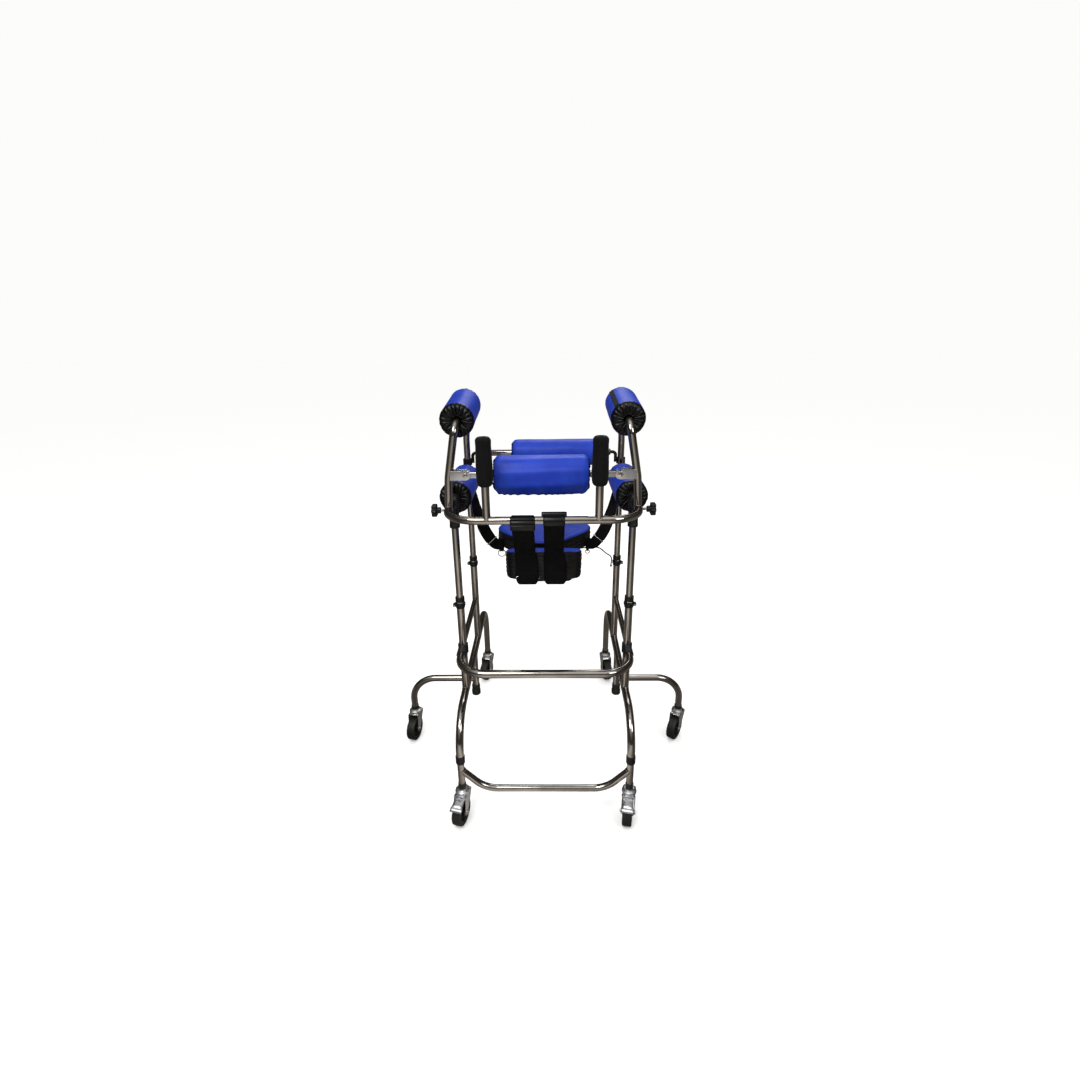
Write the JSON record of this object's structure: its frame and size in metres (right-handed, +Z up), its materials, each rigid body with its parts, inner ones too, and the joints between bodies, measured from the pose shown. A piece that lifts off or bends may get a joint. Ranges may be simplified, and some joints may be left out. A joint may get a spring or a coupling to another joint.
{
  "type": "six-caster standing walker",
  "caption": "Tall height-adjustable steel walker with underarm and arm pads, hung saddle seat, chest and back bars, outriggers and braked swivel casters.",
  "frame": {"origin": "centre of the footprint on the floor", "axes": "+X to the right when standing in front of the walker and looking along +Y, +Y from the grips to the back bar, +Z up"},
  "size_m": [1.0704, 0.895, 1.3215],
  "materials": {
    "stainless_steel": "polished stainless tube",
    "zinc_plate": "bright zinc-plated pressed steel",
    "black_plastic": "moulded black plastic",
    "black_rubber": "matte rubber",
    "black_tyre": "matte black tyre and hub",
    "black_foam": "closed-cell foam",
    "blue_nylon": "royal blue satin nylon with black gathered ends",
    "black_webbing": "woven black webbing"
  },
  "bodies": {
    "base": {"side_tube_left": "stainless_steel", "side_tube_right": "stainless_steel", "front_post_left": "stainless_steel", "front_post_right": "stainless_steel", "rear_post_left": "stainless_steel", "rear_post_right": "stainless_steel", "outrigger_left": "stainless_steel", "outrigger_right": "stainless_steel", "post_tip_left": "black_rubber", "post_tip_right": "black_rubber", "front_collar_left": "black_plastic", "front_collar_right": "black_plastic", "rear_collar_left": "black_plastic", "rear_collar_right": "black_plastic", "leg_collar_left": "black_plastic", "leg_collar_right": "black_plastic", "mid_clamp_left": "black_plastic", "mid_clamp_right": "black_plastic", "mid_bar": "stainless_steel", "front_stretcher": "stainless_steel"},
    "upper": {"arm_rail": "stainless_steel", "crutch_tube_left": "stainless_steel", "crutch_tube_right": "stainless_steel", "front_inner_tube_left": "stainless_steel", "front_inner_tube_right": "stainless_steel", "corner_fitting_left": "black_plastic", "corner_fitting_right": "black_plastic", "grip_left": "black_foam", "grip_right": "black_foam", "arm_pad_left": "blue_nylon", "arm_pad_right": "blue_nylon", "underarm_pad_left": "blue_nylon", "underarm_pad_right": "blue_nylon", "front_strap_left": "black_webbing", "front_strap_right": "black_webbing", "side_strap_left": "black_webbing", "side_strap_right": "black_webbing", "seat_cushion": "blue_nylon", "seat_nose": "blue_nylon", "tie_cord": "black_webbing"},
    "knob_left_body": {"knob_left": "black_plastic"},
    "knob_right_body": {"knob_right": "black_plastic"},
    "chest_gate": {"chest_bar": "stainless_steel", "chest_pad": "blue_nylon"},
    "back_gate": {"back_bar": "stainless_steel", "back_pad": "blue_nylon"},
    "caster_front_left": {"fork_front_left": "zinc_plate"},
    "caster_wheel_front_left": {"wheel_front_left": "black_tyre"},
    "brake_front_left": {"brake_pedal_front_left": "zinc_plate"},
    "caster_front_right": {"fork_front_right": "zinc_plate"},
    "caster_wheel_front_right": {"wheel_front_right": "black_tyre"},
    "brake_front_right": {"brake_pedal_front_right": "zinc_plate"},
    "caster_rear_left": {"fork_rear_left": "zinc_plate"},
    "caster_wheel_rear_left": {"wheel_rear_left": "black_tyre"},
    "caster_rear_right": {"fork_rear_right": "zinc_plate"},
    "caster_wheel_rear_right": {"wheel_rear_right": "black_tyre"},
    "caster_outer_left": {"fork_outer_left": "zinc_plate"},
    "caster_wheel_outer_left": {"wheel_outer_left": "black_tyre"},
    "caster_outer_right": {"fork_outer_right": "zinc_plate"},
    "caster_wheel_outer_right": {"wheel_outer_right": "black_tyre"}
  },
  "joints": [
    {"name": "height_slide", "type": "slide", "parent": "base", "child": "upper", "axis": [0, 0, 1], "range_m": [-0.12, 0.08]},
    {"name": "knob_left_turn", "type": "hinge", "parent": "upper", "child": "knob_left_body", "pos_m": [-0.29146, -0.19266, 0.985], "axis": [1, 0, 0], "continuous": true},
    {"name": "knob_right_turn", "type": "hinge", "parent": "upper", "child": "knob_right_body", "pos_m": [0.28954, -0.19266, 0.985], "axis": [1, 0, 0], "continuous": true},
    {"name": "chest_gate_hinge", "type": "hinge", "parent": "upper", "child": "chest_gate", "pos_m": [-0.21266, -0.26766, 1.11], "axis": [0, -1, 0], "range_deg": [0, 50]},
    {"name": "back_gate_hinge", "type": "hinge", "parent": "upper", "child": "back_gate", "pos_m": [-0.26596, 0.14234, 1.086], "axis": [0, 0, 1], "range_deg": [0, 110]},
    {"name": "swivel_front_left", "type": "hinge", "parent": "base", "child": "caster_front_left", "pos_m": [-0.26596, -0.37966, 0.122], "axis": [0, 0, 1], "continuous": true},
    {"name": "wheel_front_left_spin", "type": "hinge", "parent": "caster_front_left", "child": "caster_wheel_front_left", "pos_m": [-0.27165, -0.40091, 0.04395], "axis": [0.9659, -0.2588, 0], "continuous": true},
    {"name": "brake_front_left_press", "type": "hinge", "parent": "caster_front_left", "child": "brake_front_left", "pos_m": [-0.2701, -0.39511, 0.098], "axis": [0.9659, -0.2588, 0], "range_deg": [0, 8]},
    {"name": "swivel_front_right", "type": "hinge", "parent": "base", "child": "caster_front_right", "pos_m": [0.26404, -0.37966, 0.122], "axis": [0, 0, 1], "continuous": true},
    {"name": "wheel_front_right_spin", "type": "hinge", "parent": "caster_front_right", "child": "caster_wheel_front_right", "pos_m": [0.25947, -0.40118, 0.04395], "axis": [0.9781, -0.2079, 0], "continuous": true},
    {"name": "brake_front_right_press", "type": "hinge", "parent": "caster_front_right", "child": "brake_front_right", "pos_m": [0.26072, -0.39531, 0.098], "axis": [0.9781, -0.2079, 0], "range_deg": [0, 8]},
    {"name": "swivel_rear_left", "type": "hinge", "parent": "base", "child": "caster_rear_left", "pos_m": [-0.26596, 0.41734, 0.122], "axis": [0, 0, 1], "continuous": true},
    {"name": "wheel_rear_left_spin", "type": "hinge", "parent": "caster_rear_left", "child": "caster_wheel_rear_left", "pos_m": [-0.27275, 0.39642, 0.04395], "axis": [0.9511, -0.309, 0], "continuous": true},
    {"name": "swivel_rear_right", "type": "hinge", "parent": "base", "child": "caster_rear_right", "pos_m": [0.26404, 0.41734, 0.122], "axis": [0, 0, 1], "continuous": true},
    {"name": "wheel_rear_right_spin", "type": "hinge", "parent": "caster_rear_right", "child": "caster_wheel_rear_right", "pos_m": [0.26862, 0.39582, 0.04395], "axis": [0.9781, 0.2079, 0], "continuous": true},
    {"name": "swivel_outer_left", "type": "hinge", "parent": "base", "child": "caster_outer_left", "pos_m": [-0.50596, 0.02134, 0.122], "axis": [0, 0, 1], "continuous": true},
    {"name": "wheel_outer_left_spin", "type": "hinge", "parent": "caster_outer_left", "child": "caster_wheel_outer_left", "pos_m": [-0.51053, -0.00018, 0.04395], "axis": [0.9781, -0.2079, 0], "continuous": true},
    {"name": "swivel_outer_right", "type": "hinge", "parent": "base", "child": "caster_outer_right", "pos_m": [0.50404, 0.02134, 0.122], "axis": [0, 0, 1], "continuous": true},
    {"name": "wheel_outer_right_spin", "type": "hinge", "parent": "caster_outer_right", "child": "caster_wheel_outer_right", "pos_m": [0.49143, 0.00332, 0.04395], "axis": [0.8192, -0.5736, 0], "continuous": true}
  ]
}
